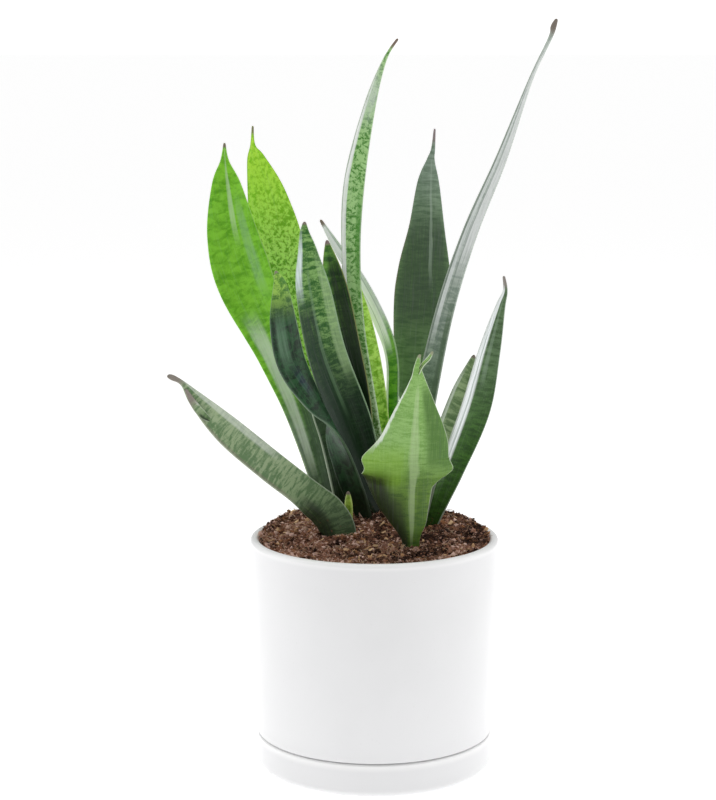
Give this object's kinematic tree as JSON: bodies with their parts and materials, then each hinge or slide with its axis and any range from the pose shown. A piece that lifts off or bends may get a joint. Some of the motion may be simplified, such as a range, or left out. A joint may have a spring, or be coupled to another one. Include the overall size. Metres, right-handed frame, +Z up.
{
  "type": "potted snake plant",
  "caption": "Live snake plant with upright, mottled sword-shaped leaves, in a plain white cylindrical planter that stands on its own round saucer.",
  "frame": {"origin": "middle of the saucer's flat underside, so the plant stands on Z = 0", "axes": "+Z up the planter's axis, through the plant; -Y toward the front, where the broken leaf leans out; +X to the viewer's right"},
  "size_m": [0.2361, 0.1754, 0.4553],
  "materials": {
    "saucer": "satin white glaze",
    "pot": "satin white glaze",
    "soil": "loose, damp coir and bark potting mix",
    "leaf_left_bright": "waxy satin living leaf",
    "leaf_left_back": "waxy satin living leaf",
    "leaf_twisted": "waxy satin living leaf",
    "leaf_short_inner": "waxy satin living leaf",
    "leaf_centre_wide": "waxy satin living leaf",
    "leaf_centre_small": "waxy satin living leaf",
    "leaf_tall_curved": "waxy satin living leaf",
    "leaf_arched": "waxy satin living leaf",
    "leaf_lime_inner": "waxy satin living leaf",
    "leaf_back_wide": "waxy satin living leaf",
    "leaf_tall_right": "waxy satin living leaf",
    "leaf_front_broken": "waxy satin living leaf",
    "leaf_right": "waxy satin living leaf",
    "leaf_right_small": "waxy satin living leaf",
    "leaf_low_left": "waxy satin living leaf",
    "sprout": "waxy satin living leaf"
  },
  "bodies": {
    "root": {"saucer": "saucer", "pot": "pot", "soil": "soil", "leaf_left_bright": "leaf_left_bright", "leaf_left_back": "leaf_left_back", "leaf_twisted": "leaf_twisted", "leaf_short_inner": "leaf_short_inner", "leaf_centre_wide": "leaf_centre_wide", "leaf_centre_small": "leaf_centre_small", "leaf_tall_curved": "leaf_tall_curved", "leaf_arched": "leaf_arched", "leaf_lime_inner": "leaf_lime_inner", "leaf_back_wide": "leaf_back_wide", "leaf_tall_right": "leaf_tall_right", "leaf_front_broken": "leaf_front_broken", "leaf_right": "leaf_right", "leaf_right_small": "leaf_right_small", "leaf_low_left": "leaf_low_left", "sprout": "sprout"}
  },
  "joints": []
}
